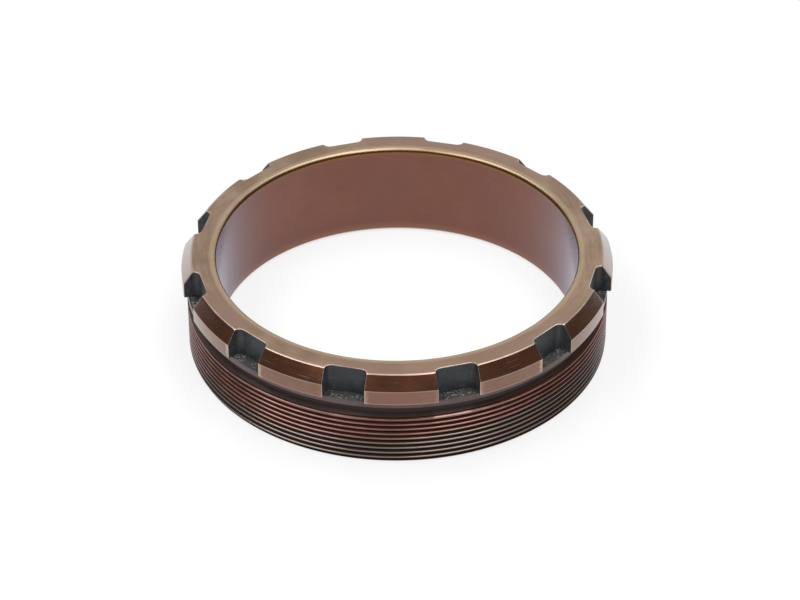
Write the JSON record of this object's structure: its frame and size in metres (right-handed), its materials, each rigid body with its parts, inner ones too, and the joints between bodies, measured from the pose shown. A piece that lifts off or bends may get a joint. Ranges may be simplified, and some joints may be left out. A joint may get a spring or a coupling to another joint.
{
  "type": "differential nut",
  "caption": "Slotted ring nut with an outside thread and a plain bore, which sets and locks a differential's side bearing.",
  "frame": {"origin": "centre of the nut's lower, bearing face", "axes": "+Z along the nut's axis from the bearing face to the slotted head; +X through the middle of a slot"},
  "size_m": [0.1526, 0.1526, 0.0365],
  "materials": {
    "browned_steel": "satin"
  },
  "bodies": {
    "root": {"differential_nut": "browned_steel"}
  },
  "joints": []
}
